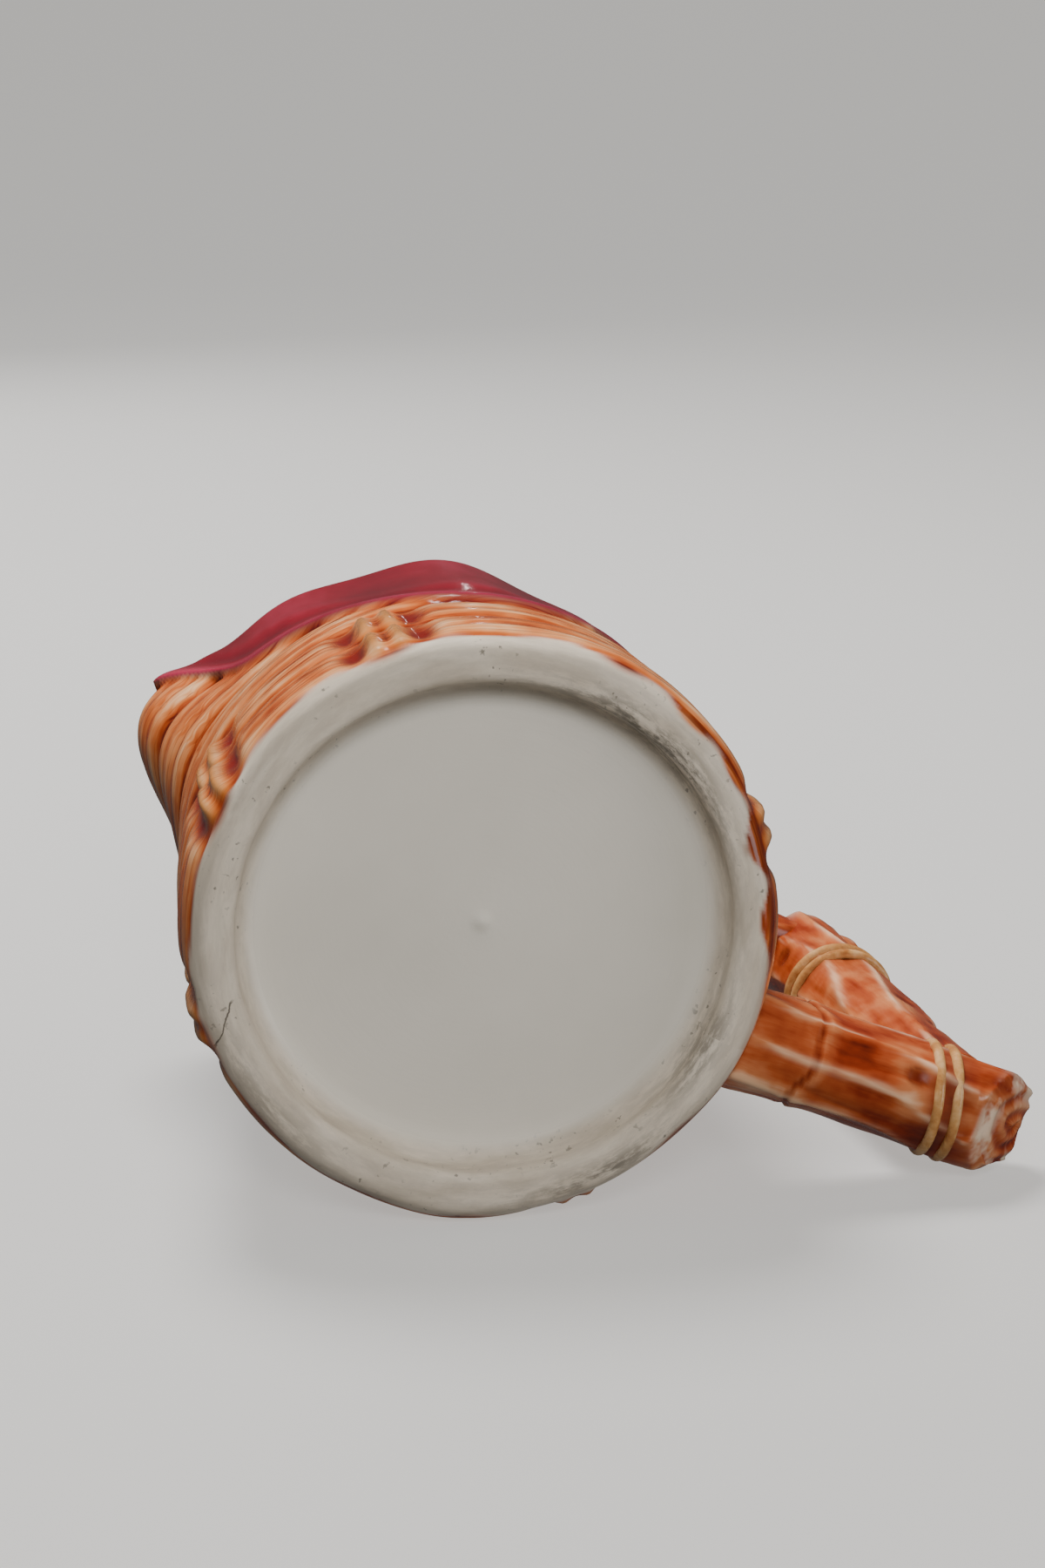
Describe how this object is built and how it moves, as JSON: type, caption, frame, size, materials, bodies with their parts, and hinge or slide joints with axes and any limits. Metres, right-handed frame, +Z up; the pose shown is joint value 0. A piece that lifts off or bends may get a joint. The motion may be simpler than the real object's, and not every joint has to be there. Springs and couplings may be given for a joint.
{
  "type": "creamer jug",
  "caption": "Small glazed earthenware cream jug moulded as tied straw with a cloth over the rim, a pouring lip and a handle of lashed branches.",
  "frame": {"origin": "centre of the whole jug's footprint box, handle and lip included, at the height of the foot", "axes": "+Z up, handle towards +Y, pouring lip towards -Y"},
  "size_m": [0.0788, 0.1266, 0.086],
  "materials": {
    "glazed_earthenware": "glossy straw-brown and maroon glaze over cream earthenware, bare cream foot"
  },
  "bodies": {
    "root": {"creamer": "glazed_earthenware"}
  },
  "joints": []
}
